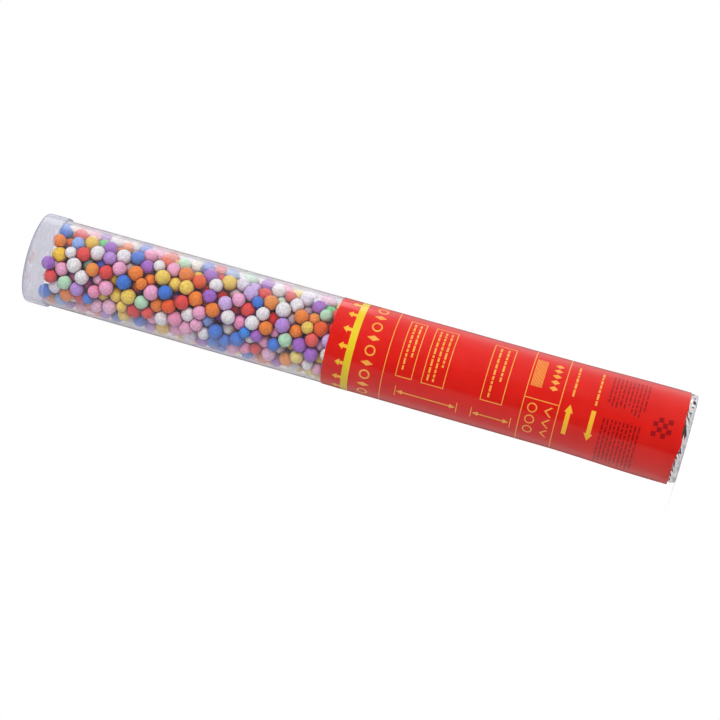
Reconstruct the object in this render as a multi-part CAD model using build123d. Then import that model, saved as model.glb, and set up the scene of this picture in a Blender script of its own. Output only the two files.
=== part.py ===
from build123d import *
import os
import numpy as np

# A twist-fired compressed-air popper that stands on its foot.
# Millimetres, +Z along the tube towards the muzzle, z = 0 at the foot.
# The front of the printed film faces -Y.

# Outside
OVERALL_LENGTH = 400.0
TUBE_DIAMETER = 52.0
TUBE_WALL = 1.0
JOINT_HEIGHT = 130.0

# Printed film and its unprinted silver margin
FILM = 0.2
FILM_GAP = 0.05
HEM_HEIGHT = 4.5
HEM_FOLD = 8.0
LABEL_OVER_WAD = 5.4
LABEL_SPLIT = 0.05

# Clear end cap
CAP_SKIRT = 13.5
CAP_WALL = 1.2
CAP_END = 1.5
CAP_ROUND = 2.0
CAP_FIT = 0.1

# Gaps between pieces
GLUE_GAP = 0.05
RUN_GAP = 0.06
SLIDE_GAP = 0.1
FREE_GAP = 0.3

# Foot plug and base tube
BASE_TUBE_WALL = 1.5
PLUG_FLANGE = 5.0
PLUG_FLOOR = 3.0
PLUG_WALL = 2.0
PLUG_DEPTH = 10.0
PLUG_ROUND = 4.0

# Air bottle with its seat, fill valve and shoulder collar
SEAT_FLOOR = 4.0
SEAT_WALL = 2.3
SEAT_RIM = 5.5
BOTTLE_WALL = 1.2
BOTTLE_ROUND = 3.0
SHOULDER_ROUND = 10.0
NECK_WALL = 3.4
NECK_LENGTH = 12.0
SHOULDER_GRIP = 12.0
VALVE_RADIUS = 3.0
VALVE_LIP = 2.0
VALVE_LIP_HEIGHT = 1.5

# Valve bush in the bottle's neck
BUSH_WALL = 1.5
BUSH_LENGTH = 10.0
BUSH_FLANGE = 2.0
BUSH_FLANGE_INSET = 1.0
GASKET = 1.5

# Base collar: bearing for the barrel and guide for the plunger
COLLAR_FLANGE = 3.0
COLLAR_DEPTH = 13.7
NECK_IN_COLLAR = 2.0
CLAMP_STEP = 2.5
SPIGOT_WALL = 3.0
SPIGOT_LIP = 2.0
GUIDE_WALL = 2.7
GUIDE_TOP = 4.0
PORT_COUNT = 4
PORT_WIDTH = 6.0
PORT_HEIGHT = 6.0

# Retaining clip that keeps the barrel on the base
CLIP_THICKNESS = 1.2
CLIP_SIDE_GAP = 0.2
CLIP_GROOVE = 1.1
CLIP_MOUTH = 12.0

# Firing head and cam sleeve in the barrel
HEAD_FLANGE = 3.0
HEAD_WALL = 1.55
LEDGE_WIDTH = 1.34
LEDGE_HEIGHT = 6.0
SLEEVE_WALL = 2.9
SLEEVE_TOP = 8.0
SLEEVE_BOTTOM = 2.0
PLATE_THICKNESS = 5.0
VENT_COUNT = 6
VENT_RADIUS = 3.5
PIN_COUNT = 4
PIN_RADIUS = 1.2
PIN_BITE = 4.0

# Plunger, its sealing rings and its cross pin
NOSE_RADIUS = 3.94
NOSE_DEPTH = 5.5
ROD_RADIUS = 6.0
ROD_STANDOFF = 2.5
ROD_TOP = 10.0
CLAMP_CLEARANCE = 1.0
RING_CORD = 1.0
RING_PITCH = 2.2
RING_COUNT = 2
CROSS_PIN_RADIUS = 1.5
CROSS_PIN_RISE = 6.0
CROSS_PIN_INSET = 0.4
SLOT_GAP = 0.3
PLUNGER_LIFT = 8.0
TWIST_DEGREES = 90.0

# Wad that pushes the balls out
WAD_GAP = 0.2
CUP_HEIGHT = 42.0
CUP_WALL = 1.2
CUP_CROWN = 2.0
FELT_THICKNESS = 6.0
CARD_THICKNESS = 2.0

# Foam balls
BALL_DIAMETER = 8.1
BALL_SPREAD = 0.6
SMALL_BALL_DIAMETER = 6.7
SMALL_BALL_SHARE = 0.15
BALL_GAP = 0.2
HEADSPACE = 4.4
BALL_TRIES = 260
BALL_ROUNDS = 4
BALL_SEED = 11
BALL_SHARES = {
    "white": 0.20,
    "pink": 0.17,
    "red": 0.13,
    "orange": 0.12,
    "yellow": 0.11,
    "mint": 0.07,
    "blue": 0.09,
    "purple": 0.11,
}

# Radii, from the outside in
tube_r = TUBE_DIAMETER / 2
tube_bore = tube_r - TUBE_WALL
film_in = tube_r + FILM_GAP
film_out = film_in + FILM
base_bore = tube_r - BASE_TUBE_WALL
plug_r = base_bore - GLUE_GAP
plug_bore = plug_r - PLUG_WALL
seat_r = plug_bore - GLUE_GAP
seat_bore = seat_r - SEAT_WALL
bottle_r = seat_bore - GLUE_GAP
collar_r = base_bore - GLUE_GAP
head_r = tube_bore - GLUE_GAP
clip_chamber = head_r - HEAD_WALL
clip_r = clip_chamber - CLIP_SIDE_GAP
bearing_bore = clip_chamber - LEDGE_WIDTH
spigot_r = bearing_bore - RUN_GAP
spigot_bore = spigot_r - SPIGOT_WALL
groove_r = spigot_r - CLIP_GROOVE
wad_r = tube_bore - FREE_GAP

# Radii, from the plunger out
bush_bore = NOSE_RADIUS + RUN_GAP
bush_r = bush_bore + BUSH_WALL
neck_bore = bush_r + GLUE_GAP
neck_r = neck_bore + NECK_WALL
bush_flange_r = neck_r - BUSH_FLANGE_INSET
collar_bore = neck_r + GLUE_GAP
clamp_bore = ROD_RADIUS + CLAMP_CLEARANCE
sleeve_bore = ROD_RADIUS + SLIDE_GAP
sleeve_r = sleeve_bore + SLEEVE_WALL
guide_bore = sleeve_r + FREE_GAP
guide_r = guide_bore + GUIDE_WALL
slot_width = 2 * (CROSS_PIN_RADIUS + SLOT_GAP)

# Heights, from the foot up to the joint
plug_bottom = FILM + FILM_GAP
plug_round = min(PLUG_ROUND, PLUG_FLANGE - plug_bottom - GLUE_GAP)
plug_floor_top = plug_bottom + PLUG_FLOOR
plug_top = PLUG_FLANGE + PLUG_DEPTH
bottle_bottom = plug_floor_top + SEAT_FLOOR
collar_top = JOINT_HEIGHT - FREE_GAP
collar_shelf = collar_top - COLLAR_FLANGE
collar_bottom = collar_shelf - COLLAR_DEPTH
neck_top = collar_bottom + NECK_IN_COLLAR
shoulder_top = neck_top - NECK_LENGTH
gasket_top = neck_top + GASKET
bush_top = gasket_top + BUSH_FLANGE
trough_floor = bush_top + CLAMP_STEP

# Heights, from the joint up to the muzzle
ledge_top = JOINT_HEIGHT + LEDGE_HEIGHT
clip_bottom = ledge_top + CLIP_SIDE_GAP
clip_top = clip_bottom + CLIP_THICKNESS
spigot_top = clip_top + GLUE_GAP + SPIGOT_LIP
tube_bottom = JOINT_HEIGHT + HEAD_FLANGE
cross_pin_z = JOINT_HEIGHT + CROSS_PIN_RISE
slot_low = cross_pin_z - slot_width / 2
slot_high = cross_pin_z + PLUNGER_LIFT + slot_width / 2
guide_top = slot_high + GUIDE_TOP
plate_bottom = slot_high + SLEEVE_TOP
plate_top = plate_bottom + PLATE_THICKNESS
cup_bottom = plate_top + WAD_GAP
felt_bottom = cup_bottom + CUP_HEIGHT
card_bottom = felt_bottom + FELT_THICKNESS
wad_top = card_bottom + CARD_THICKNESS
label_top = wad_top + LABEL_OVER_WAD
cap_inside = OVERALL_LENGTH - CAP_END
tube_top = cap_inside - CAP_FIT
heap_top = tube_top - HEADSPACE

UP = (Align.CENTER, Align.CENTER, Align.MIN)


def disc(radius, bottom, top):
    """A solid cylinder on the axis between two heights."""
    return Pos(0, 0, bottom) * Cylinder(radius, top - bottom, align=UP)


def ring(outer, inner, bottom, top):
    """A plain ring on the axis between two heights."""
    return disc(outer, bottom, top) - disc(inner, bottom, top)


def radial_rod(radius, start, end, height, angle):
    """A rod that points away from the axis, from one distance to another."""
    rod = Pos(start, 0, height) * Rot(0, 90, 0) * Cylinder(radius, end - start, align=UP)
    return Rot(0, 0, angle) * rod


def around(count, make, first=0.0):
    """Copies of what make(angle) gives, evenly spaced round the axis."""
    return [make(first + 360.0 * i / count) for i in range(count)]


def circles(solid):
    """The circular edges of a turned solid, lowest first."""
    return solid.edges().filter_by(GeomType.CIRCLE).sort_by(Axis.Z)


def outer_circle(solid, height):
    """The widest circular edge at one height."""
    at_height = [e for e in circles(solid) if abs(e.center().Z - height) < 1e-4]
    return max(at_height, key=lambda e: e.radius)


# Foot: plug, silver fold and base tube
def base_plug():
    """Foot plug: rounded flange under the tube, hollow spigot inside it."""
    body = disc(tube_r, plug_bottom, PLUG_FLANGE)
    body = fillet(outer_circle(body, plug_bottom), plug_round)
    body += disc(plug_r, PLUG_FLANGE, plug_top)
    body -= disc(plug_bore, plug_floor_top, plug_top)
    foot_r = tube_r - plug_round - HEM_FOLD - GLUE_GAP
    return body + disc(foot_r, 0, plug_bottom)


def foil_hem():
    """Silver margin of the film, folded round the plug's edge and under it."""
    centre_r = tube_r - plug_round
    centre_z = plug_bottom + plug_round
    outer_round = film_out - centre_r
    inner_round = film_in - centre_r
    fold_r = centre_r - HEM_FOLD
    low = centre_z - outer_round
    high = centre_z - inner_round
    outline = [
        Line((film_in, HEM_HEIGHT), (film_out, HEM_HEIGHT)),
        Line((film_out, HEM_HEIGHT), (film_out, centre_z)),
        CenterArc((centre_r, centre_z), outer_round, 0, -90),
        Line((centre_r, low), (fold_r, low)),
        Line((fold_r, low), (fold_r, high)),
        Line((fold_r, high), (centre_r, high)),
        CenterArc((centre_r, centre_z), inner_round, 0, -90),
        Line((film_in, centre_z), (film_in, HEM_HEIGHT)),
    ]
    return revolve(Plane.XZ * make_face(outline), Axis.Z)


def base_tube():
    """Card tube of the part that is turned."""
    tube = ring(tube_r, base_bore, PLUG_FLANGE, collar_shelf)
    for hole in around(PIN_COUNT, collar_pin_hole):
        tube -= hole
    return tube


def label_lower():
    """Red film on the part that is turned."""
    return ring(film_out, film_in, HEM_HEIGHT, JOINT_HEIGHT - LABEL_SPLIT)


# Air bottle and what holds it
def bottle_form(extra):
    """The bottle's outside, grown by extra on every side."""
    body = disc(bottle_r + extra, bottle_bottom - extra, shoulder_top + extra)
    body = fillet(circles(body)[-1], SHOULDER_ROUND + extra)
    body = fillet(circles(body)[0], BOTTLE_ROUND + extra)
    return body + disc(neck_r + extra, shoulder_top, neck_top)


def air_bottle():
    """Drawn aluminium bottle that holds the compressed air."""
    hollow = disc(bottle_r - BOTTLE_WALL, bottle_bottom + BOTTLE_WALL, shoulder_top - BOTTLE_WALL)
    hollow = fillet(circles(hollow)[-1], SHOULDER_ROUND - BOTTLE_WALL)
    hollow = fillet(circles(hollow)[0], BOTTLE_ROUND - BOTTLE_WALL)
    bottle = bottle_form(0) - hollow
    bottle -= disc(neck_bore, shoulder_top - 2 * BOTTLE_WALL, neck_top)
    return bottle - disc(VALVE_RADIUS + GLUE_GAP, bottle_bottom, bottle_bottom + 2 * BOTTLE_WALL)


def fill_valve():
    """Rubber filling valve in the bottle's floor, with a lip on each side."""
    lip_r = VALVE_RADIUS + VALVE_LIP
    inside = bottle_bottom + BOTTLE_WALL + GLUE_GAP
    outside = bottle_bottom - GLUE_GAP
    plug = disc(VALVE_RADIUS, outside, inside)
    plug += disc(lip_r, outside - VALVE_LIP_HEIGHT, outside)
    return plug + disc(lip_r, inside, inside + VALVE_LIP_HEIGHT)


def bottle_seat():
    """Soft cup in the plug that carries the bottle."""
    seat = disc(seat_r, plug_floor_top, bottle_bottom + SEAT_RIM)
    seat -= disc(seat_bore, bottle_bottom, bottle_bottom + SEAT_RIM)
    return seat - disc(VALVE_RADIUS + VALVE_LIP + FREE_GAP, plug_floor_top, bottle_bottom)


def bottle_collar():
    """Spacer that holds the bottle by its shoulder in the base tube."""
    block = disc(collar_r, shoulder_top - SHOULDER_GRIP, collar_bottom)
    return block - bottle_form(GLUE_GAP)


def neck_gasket():
    """Rubber ring between the bottle's neck and the valve bush."""
    return ring(bush_flange_r, neck_bore, neck_top, gasket_top)


def neck_bush():
    """Brass bush that the plunger's nose closes."""
    bush = disc(bush_r, bush_top - BUSH_FLANGE - BUSH_LENGTH, bush_top)
    bush += disc(bush_flange_r, gasket_top, bush_top)
    return bush - disc(bush_bore, bush_top - BUSH_FLANGE - BUSH_LENGTH, bush_top)


# Base collar, its pins and the retaining clip
def collar_pin_hole(angle):
    """Cut for one pin through the base tube into the collar."""
    return radial_rod(PIN_RADIUS + GLUE_GAP, collar_r - PIN_BITE, film_in, collar_pin_z(), angle)


def collar_pin_z():
    """Height of the pins that fix the base collar."""
    return (collar_bottom + collar_shelf) / 2


def base_collar():
    """Moulded top of the base: clamp, guide tower and bearing spigot in one."""
    body = disc(collar_r, collar_bottom, collar_shelf)
    body += disc(tube_r, collar_shelf, collar_top)
    body += disc(spigot_r, collar_top, spigot_top)
    body -= disc(spigot_bore, trough_floor, spigot_top)
    body -= ring(spigot_r, groove_r, clip_bottom - GLUE_GAP, clip_top + GLUE_GAP)
    body += disc(guide_r, trough_floor, guide_top)
    body -= disc(guide_bore, trough_floor, guide_top)
    body -= disc(collar_bore, collar_bottom, bush_top)
    body -= disc(clamp_bore, bush_top, trough_floor)
    for cut in guide_slots() + air_ports() + around(PIN_COUNT, collar_pin_hole):
        body -= cut
    return body


def guide_slots():
    """Straight slots in the guide tower that keep the cross pin from turning."""
    reach = 2 * guide_r
    low = cross_pin_z
    high = cross_pin_z + PLUNGER_LIFT
    slot = Pos(0, 0, low) * Box(reach, slot_width, high - low, align=UP)
    for height in (low, high):
        slot += Pos(0, 0, height) * Rot(0, 90, 0) * Cylinder(slot_width / 2, reach)
    return [slot]


def air_ports():
    """Windows at the foot of the guide tower that let the air out."""
    middle = (guide_bore + guide_r) / 2

    def port(angle):
        window = Box(2 * GUIDE_WALL, PORT_WIDTH, PORT_HEIGHT, align=UP)
        return Rot(0, 0, angle) * Pos(middle, 0, trough_floor) * window

    return around(PORT_COUNT, port, 180.0 / PORT_COUNT)


def collar_pins():
    """Pins that fix the base tube to the base collar."""
    start = collar_r - PIN_BITE + GLUE_GAP
    return around(PIN_COUNT, lambda a: radial_rod(PIN_RADIUS, start, tube_r, collar_pin_z(), a))


def retaining_clip():
    """Spring clip in the spigot's groove that keeps the barrel on the base."""
    clip = ring(clip_r, groove_r + GLUE_GAP, clip_bottom, clip_top)
    return clip - Pos(0, clip_r, clip_bottom) * Box(CLIP_MOUTH, clip_r, CLIP_THICKNESS, align=UP)


# Plunger
def plunger():
    """Valve plunger: a nose in the bush and a rod in the cam sleeve."""
    nose_tip = bush_top - NOSE_DEPTH
    rod_bottom = bush_top + ROD_STANDOFF
    body = disc(NOSE_RADIUS, nose_tip, rod_bottom)
    body += disc(ROD_RADIUS, rod_bottom, cross_pin_z + ROD_TOP)
    for height in ring_heights():
        body -= ring(NOSE_RADIUS, NOSE_RADIUS - RING_CORD, height - RING_CORD / 2, height + RING_CORD / 2)
    return body - Pos(0, 0, cross_pin_z) * Rot(0, 90, 0) * Cylinder(CROSS_PIN_RADIUS, 3 * ROD_RADIUS)


def ring_heights():
    """Heights of the sealing rings on the nose."""
    first = bush_top - NOSE_DEPTH + RING_CORD
    return [first + RING_PITCH * i for i in range(RING_COUNT)]


def plunger_rings():
    """Rubber rings in the nose's grooves."""
    middle = NOSE_RADIUS - RING_CORD / 2
    return [Pos(0, 0, z) * Torus(middle, RING_CORD / 2) for z in ring_heights()]


def cross_pin():
    """Steel pin through the plunger, carried by the cam and guide slots."""
    half = guide_r - CROSS_PIN_INSET
    return Pos(0, 0, cross_pin_z) * Rot(0, 90, 0) * Cylinder(CROSS_PIN_RADIUS, 2 * half)


# Barrel
def clear_tube():
    """Clear plastic tube of the part that is held."""
    tube = ring(tube_r, tube_bore, tube_bottom, tube_top)
    for hole in head_pin_holes():
        tube -= hole
    return tube


def label_upper():
    """Red film on the part that is held."""
    return ring(film_out, film_in, JOINT_HEIGHT, label_top)


def firing_head():
    """Ring glued into the tube that runs on the base collar's spigot."""
    body = disc(tube_r, JOINT_HEIGHT, tube_bottom)
    body += disc(head_r, tube_bottom, plate_bottom)
    body -= disc(bearing_bore, JOINT_HEIGHT, ledge_top)
    body -= disc(clip_chamber, ledge_top, plate_bottom)
    for hole in head_pin_holes():
        body -= hole
    return body


def cam_slot(angle):
    """Helical slot that lifts the cross pin as the barrel turns."""
    middle = (sleeve_bore + sleeve_r) / 2
    depth = 2 * SLEEVE_WALL
    turn = TWIST_DEGREES / 360.0
    path = Helix(PLUNGER_LIFT / turn, PLUNGER_LIFT, middle, lefthand=True)
    start = Plane(path @ 0, x_dir=(1, 0, 0), z_dir=path % 0)
    slot = sweep(start * Rectangle(depth, slot_width), path, is_frenet=True)
    for step in (0, 1):
        end = radial_rod(slot_width / 2, middle - depth / 2, middle + depth / 2,
                         step * PLUNGER_LIFT, -step * TWIST_DEGREES)
        slot += end
    return Rot(0, 0, angle) * Pos(0, 0, cross_pin_z) * slot


def cam_sleeve():
    """Vented plate over the head, with the cam sleeve hanging from it."""
    body = disc(head_r, plate_bottom, plate_top)
    body += disc(sleeve_r, slot_low - SLEEVE_BOTTOM, plate_bottom)
    body -= disc(sleeve_bore, slot_low - SLEEVE_BOTTOM, plate_top)
    vent_circle = (guide_r + spigot_bore) / 2
    vent = disc(VENT_RADIUS, plate_bottom, plate_top)
    for hole in around(VENT_COUNT, lambda a: Rot(0, 0, a) * Pos(vent_circle, 0, 0) * vent):
        body -= hole
    for cut in around(2, cam_slot) + head_pin_holes():
        body -= cut
    return body


def head_pin_rows():
    """Height and inner end of the two rows of pins in the barrel."""
    head_row = ((clip_top + plate_bottom) / 2, clip_chamber)
    plate_row = ((plate_bottom + plate_top) / 2, head_r - PIN_BITE)
    return [head_row, plate_row]


def head_pin_holes():
    """Cuts for the pins through the tube into the head and the plate."""
    holes = []
    for height, start in head_pin_rows():
        hole_r = PIN_RADIUS + GLUE_GAP
        holes += around(PIN_COUNT, lambda a: radial_rod(hole_r, start, film_in, height, a), 45.0)
    return holes


def head_pins():
    """Pins that fix the tube to the head and to the vented plate."""
    pins = []
    for height, start in head_pin_rows():
        inner = start + GLUE_GAP
        pins += around(PIN_COUNT, lambda a: radial_rod(PIN_RADIUS, inner, tube_r, height, a), 45.0)
    return pins


# Charge
def wad_cup():
    """Pusher cup with its skirt towards the air."""
    cup = disc(wad_r, cup_bottom, felt_bottom)
    return cup - disc(wad_r - CUP_WALL, cup_bottom, felt_bottom - CUP_CROWN)


def pack_balls():
    """Drop balls one at a time into the lowest pocket found, until no more fit under the heap's top."""
    draw = np.random.default_rng(BALL_SEED)
    half_gap = BALL_GAP / 2
    placed = np.zeros((0, 4))
    while True:
        small = draw.random() < SMALL_BALL_SHARE
        middle = SMALL_BALL_DIAMETER if small else BALL_DIAMETER
        radius = (middle + draw.uniform(-BALL_SPREAD, BALL_SPREAD)) / 2
        reach = tube_bore - FREE_GAP - radius
        near_top = placed[placed[:, 2] > placed[:, 2].max() - 6 * BALL_DIAMETER] if len(placed) else placed
        best = np.zeros(2)
        spread = reach
        for _ in range(BALL_ROUNDS):
            tries = np.vstack([best, best + spread * draw.uniform(-1, 1, (BALL_TRIES, 2))])
            distance = np.hypot(tries[:, 0], tries[:, 1])
            tries *= np.minimum(1.0, reach / np.maximum(distance, reach))[:, None]
            heights = resting_heights(tries, radius + half_gap, near_top)
            fits = heights + radius < heap_top
            if not fits.any():
                return placed
            lowest = int(np.argmin(np.where(fits, heights, np.inf)))
            best = tries[lowest]
            height = heights[lowest]
            spread = spread / BALL_ROUNDS
        placed = np.vstack([placed, [best[0], best[1], height, radius + half_gap]])


def resting_heights(points, radius, others):
    """How low a ball's centre can come at each point before it meets another ball."""
    floor = wad_top + radius
    if len(others) == 0:
        return np.full(len(points), floor)
    across = (points[:, None, 0] - others[None, :, 0]) ** 2
    across += (points[:, None, 1] - others[None, :, 1]) ** 2
    touch = (radius + others[None, :, 3]) ** 2
    rise = np.sqrt(np.maximum(touch - across, 0.0))
    heights = np.where(across < touch, others[None, :, 2] + rise, floor)
    return np.maximum(heights.max(axis=1), floor)


def ball_groups():
    """Foam balls sorted by colour, each one a separate solid."""
    balls = pack_balls()
    draw = np.random.default_rng(BALL_SEED + 1)
    names = list(BALL_SHARES)
    shares = np.array(list(BALL_SHARES.values()))
    colours = draw.choice(len(names), size=len(balls), p=shares / shares.sum())
    groups = {f"balls_{name}": [] for name in names}
    for (x, y, z, size), colour in zip(balls, colours):
        ball = Pos(x, y, z) * Sphere(size - BALL_GAP / 2)
        groups[f"balls_{names[colour]}"].append(ball)
    return groups


# Cap
def end_cap():
    """Clear cap pushed over the muzzle."""
    bore = tube_r + CAP_FIT
    cap = disc(bore + CAP_WALL, OVERALL_LENGTH - CAP_SKIRT, OVERALL_LENGTH)
    cap = fillet(circles(cap)[-1], min(CAP_ROUND, CAP_WALL + CAP_END))
    return cap - disc(bore, OVERALL_LENGTH - CAP_SKIRT, cap_inside)


nodes = {
    "base_plug": base_plug(),
    "foil_hem": foil_hem(),
    "base_tube": base_tube(),
    "label_lower": label_lower(),
    "bottle_seat": bottle_seat(),
    "air_bottle": air_bottle(),
    "fill_valve": fill_valve(),
    "bottle_collar": bottle_collar(),
    "neck_gasket": neck_gasket(),
    "neck_bush": neck_bush(),
    "base_collar": base_collar(),
    "collar_pins": collar_pins(),
    "retaining_clip": retaining_clip(),
    "plunger": plunger(),
    "plunger_rings": plunger_rings(),
    "cross_pin": cross_pin(),
    "clear_tube": clear_tube(),
    "label_upper": label_upper(),
    "firing_head": firing_head(),
    "cam_sleeve": cam_sleeve(),
    "head_pins": head_pins(),
    "wad_cup": wad_cup(),
    "wad_felt": disc(wad_r, felt_bottom, card_bottom),
    "wad_card": disc(wad_r, card_bottom, wad_top),
    "end_cap": end_cap(),
}
nodes.update(ball_groups())

os.makedirs("parts", exist_ok=True)
for name, shape in nodes.items():
    solids = shape if isinstance(shape, list) else [shape]
    compound = Compound([solid for piece in solids for solid in piece.solids()])
    export_step(compound, f"parts/{name}.step")

print("label top", round(label_top, 2), "wad top", round(wad_top, 2), "heap top", round(heap_top, 2))
print("balls", {name: len(shape) for name, shape in nodes.items() if name.startswith("balls_")})
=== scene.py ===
import bmesh
import bpy
import math
import numpy as np
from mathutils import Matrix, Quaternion, Vector, noise


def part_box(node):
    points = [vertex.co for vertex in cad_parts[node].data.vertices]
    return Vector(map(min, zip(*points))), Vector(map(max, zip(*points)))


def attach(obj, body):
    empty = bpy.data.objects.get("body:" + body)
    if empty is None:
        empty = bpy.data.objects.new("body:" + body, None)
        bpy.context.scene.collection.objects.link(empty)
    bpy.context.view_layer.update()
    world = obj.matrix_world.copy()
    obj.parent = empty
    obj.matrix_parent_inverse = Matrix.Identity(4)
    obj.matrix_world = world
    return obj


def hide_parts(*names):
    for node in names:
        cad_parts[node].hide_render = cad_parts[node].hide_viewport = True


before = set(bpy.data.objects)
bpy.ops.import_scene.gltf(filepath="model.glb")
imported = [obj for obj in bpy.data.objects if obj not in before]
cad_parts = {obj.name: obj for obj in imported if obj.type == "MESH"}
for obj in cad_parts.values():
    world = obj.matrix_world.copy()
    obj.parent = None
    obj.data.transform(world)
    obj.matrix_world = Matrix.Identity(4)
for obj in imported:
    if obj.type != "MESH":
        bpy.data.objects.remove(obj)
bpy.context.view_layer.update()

# A twist-fired party popper: a clear capped tube of foam balls on a film-wrapped base.
# Metres, in the frame of the solids: the axis is +Z, the foot is at z = 0, the print's front faces -Y.
# Angles round the axis are in degrees from the front and grow towards -X.

MM = 0.001
SEED = 7
# The shaders' noise mostly lies between these two values
NOISE_LOW, NOISE_HIGH = 0.3, 0.7


# Sizes that the solids give
def outer_radius(node):
    """Largest distance of a node from the axis."""
    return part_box(node)[1].x


def inner_radius(node):
    """Smallest distance of a node's corners from the axis."""
    return min(math.hypot(v.co.x, v.co.y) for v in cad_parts[node].data.vertices)


def heights(node):
    """Lowest and highest z of a node."""
    low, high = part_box(node)
    return low.z, high.z


FILM_RADIUS = outer_radius("label_upper")
TUBE_RADIUS = outer_radius("clear_tube")
TUBE_BORE = inner_radius("clear_tube")
CAP_RADIUS = outer_radius("end_cap")
FOLD_END = inner_radius("foil_hem")
TUBE_BOTTOM, TUBE_TOP = heights("clear_tube")
CAP_BOTTOM, CAP_TOP = heights("end_cap")
UPPER_BOTTOM, UPPER_TOP = heights("label_upper")
LOWER_BOTTOM = heights("label_lower")[0]

# Angles from which an edge stays crisp
CRISP_RIM = 30
CRISP_FILM = 40
ALL_SMOOTH = 180

# Clear pieces
TURN_STEPS = 192
RIM_ROUND = 0.3 * MM
RIM_STEPS = 3
CAP_WALL = 1.2 * MM
CAP_END = 1.5 * MM
CAP_ROUND = 2.0 * MM
CAP_STEPS = 6
SKIRT_ROUND = 0.15 * MM
HOLD = 0.25 * MM
LONG_RUN = 4 * HOLD

# Foam balls
BALL_GRID = 7
BALL_WELD = 1e-5
BALL_SWELL = 1.075
BALL_CLEARANCE = 0.05 * MM
BALL_SQUASH = 0.05
BALL_FLATS = 5
FLAT_DEPTH = 0.035
FLAT_WIDTH = 0.09
# Painted shade on the balls: how near the next ball it reaches, how much of it falls there, and the depths
# from the wall or the heap's top between which it deepens to its darkest
PAINTED_CREVICE = 0.9 * MM
PAINTED_CREVICE_SHARE = 0.45
PAINTED_SHADE_NEAR, PAINTED_SHADE_DEEP = 4.5 * MM, 9.5 * MM

# Film and the ink on it
FILM_THICKNESS = 0.2 * MM
FILM_SPLIT = 0.01 * MM
FILM_WAVE = 0.04 * MM
FILM_WAVE_SIZE = 16 * MM
FILM_ROW = 1.5 * MM
INK_HEIGHT = 0.04 * MM
INK_DEPTH = 0.06 * MM
SEAM_ANGLE = 98
SEAM_OVERLAP = 6
SEAM_RAMP = 12
SEAM_LIFT = 0.22 * MM
FLARE_ANGLE = 72
FLARE_WIDTH = 26
FLARE_HEIGHT = 9 * MM
FLARE_LIFT = 0.7 * MM
LOOSE_LOW, LOOSE_HIGH = 12 * MM, 85 * MM
LOOSE_LIFT = 1.2 * MM
LOOSE_LEAN = 0.42
EDGE_WAVER = 0.5 * MM
EDGE_WAVER_SIZE = 7 * MM
TONGUE_ANGLE = 8
TONGUE_WIDTH = 18
TONGUE_LENGTH = 1.6 * MM

# Foil fold at the foot
FOLD_ROUND = 4.25 * MM
FOLD_UNDER_FILM = 1.5 * MM
FOLD_ROWS = 6
PLEAT_WIDE = (4.0, 10.0)
PLEAT_NARROW = (1.0, 3.0)
PLEAT_VALLEY = (0.0, 0.2)
PLEAT_CREST = (0.45, 1.0)
PLEAT_RISEN, PLEAT_FALLING = 25, 50
PLEAT_HEIGHT = 1.5 * MM
PLEAT_TWIST = 5.0
PLEAT_CRUMPLE = 0.6
FOIL_THICKNESS = 0.15 * MM

# Print, in millimetres: round the film from the front, and up from the foot
FULL_TURN = math.tau * FILM_RADIUS / MM
SHEET_LEFT = math.radians(SEAM_ANGLE - 360 - SEAM_OVERLAP) * FILM_RADIUS / MM
SHEET_RIGHT = math.radians(SEAM_ANGLE) * FILM_RADIUS / MM
FRONT_AND_BACK = (0, -FULL_TURN / 2)
PRINT_CELL = 1.2
LINE = 0.5
TIP = 0.05
CIRCLE_POINTS = 32
DASH = 1.15
DASH_LENGTHS = (1.4, 4.2)
DASH_GAP = 0.8
BOX_LEFT, BOX_RIGHT = -27.9, 10.3
BOX_MARGIN = 2.5
BOX_SHORT_ROW = 12.0
MEASURE_AROUND = 20.5
MEASURE_STOP = 4
MEASURE_GAP = 1.0
MEASURE_STEM = 0.8
MEASURE_HEAD = (3.6, 3.4)

# Print on the upper sheet
RING_LOW, RING_HIGH = 198.2, 202.4
ARROWS = 16
ARROW_START = 1.4
ARROW_LENGTH = 5.2
ARROW_STEM = 2.0
ARROW_HEAD = (2.6, 4.6)
MOTIFS = 22
MOTIF_HEIGHT = 189.0
MOTIF_RADIUS = 3.2
MOTIF_LINE = 0.95
MOTIF_DIAMOND = (1.7, 3.7)
UPPER_LINE = 178.4
UPPER_BOXES = ((161.4, 171.4, 2), (142.5, 156.0, 3))
UPPER_MEASURE = (132.4, 169.9)

# Print on the lower sheet
LOWER_BOXES = ((107.4, 120.6, 2),)
LOWER_MEASURE = (100.2, 124.2)
FRAME_LOW, FRAME_HIGH = 75.2, 96.3
FRAME_MIDDLE = (FRAME_LOW + FRAME_HIGH) / 2
FRAME_DIVIDER = 0.9
STRIPES = 9
STRIPE_LEFT, STRIPE_RIGHT = -25.0, -6.0
STRIPE_LOW = FRAME_HIGH - 8.2
STRIPE_PITCH = 0.75
STRIPE_LINE = 0.4
SMALL_DIAMONDS = 5
SMALL_LEFT = -23.5
SMALL_PITCH = 4.0
SMALL_HEIGHT = FRAME_MIDDLE - 4.6
SMALL_DIAMOND = (1.5, 2.6)
PAIRS = 3
PAIR_LEFT = 6.4
PAIR_PITCH = 7.4
PAIR_RING_HEIGHT = FRAME_MIDDLE + 4.4
PAIR_RING = (2.9, 2.2)
PAIR_CHEVRON_HEIGHT = FRAME_MIDDLE - 7.4
PAIR_CHEVRON = (2.9, 3.4, 1.2)
TURN_ARROWS = ((69.4, 17.2, -90), (55.5, -1.4, 90))
TURN_LENGTH = 18.4
TURN_STEM = 2.6
TURN_HEAD = (4.6, 5.0)
TURN_DASH = 1.2
TURN_DASH_END = -4.5
FINE_BLOCKS = ((-28.4, -3.0), (0.6, 35.2))
FINE_LOW, FINE_HIGH = 27.6, 50.7
FINE_ROWS = 10
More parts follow.
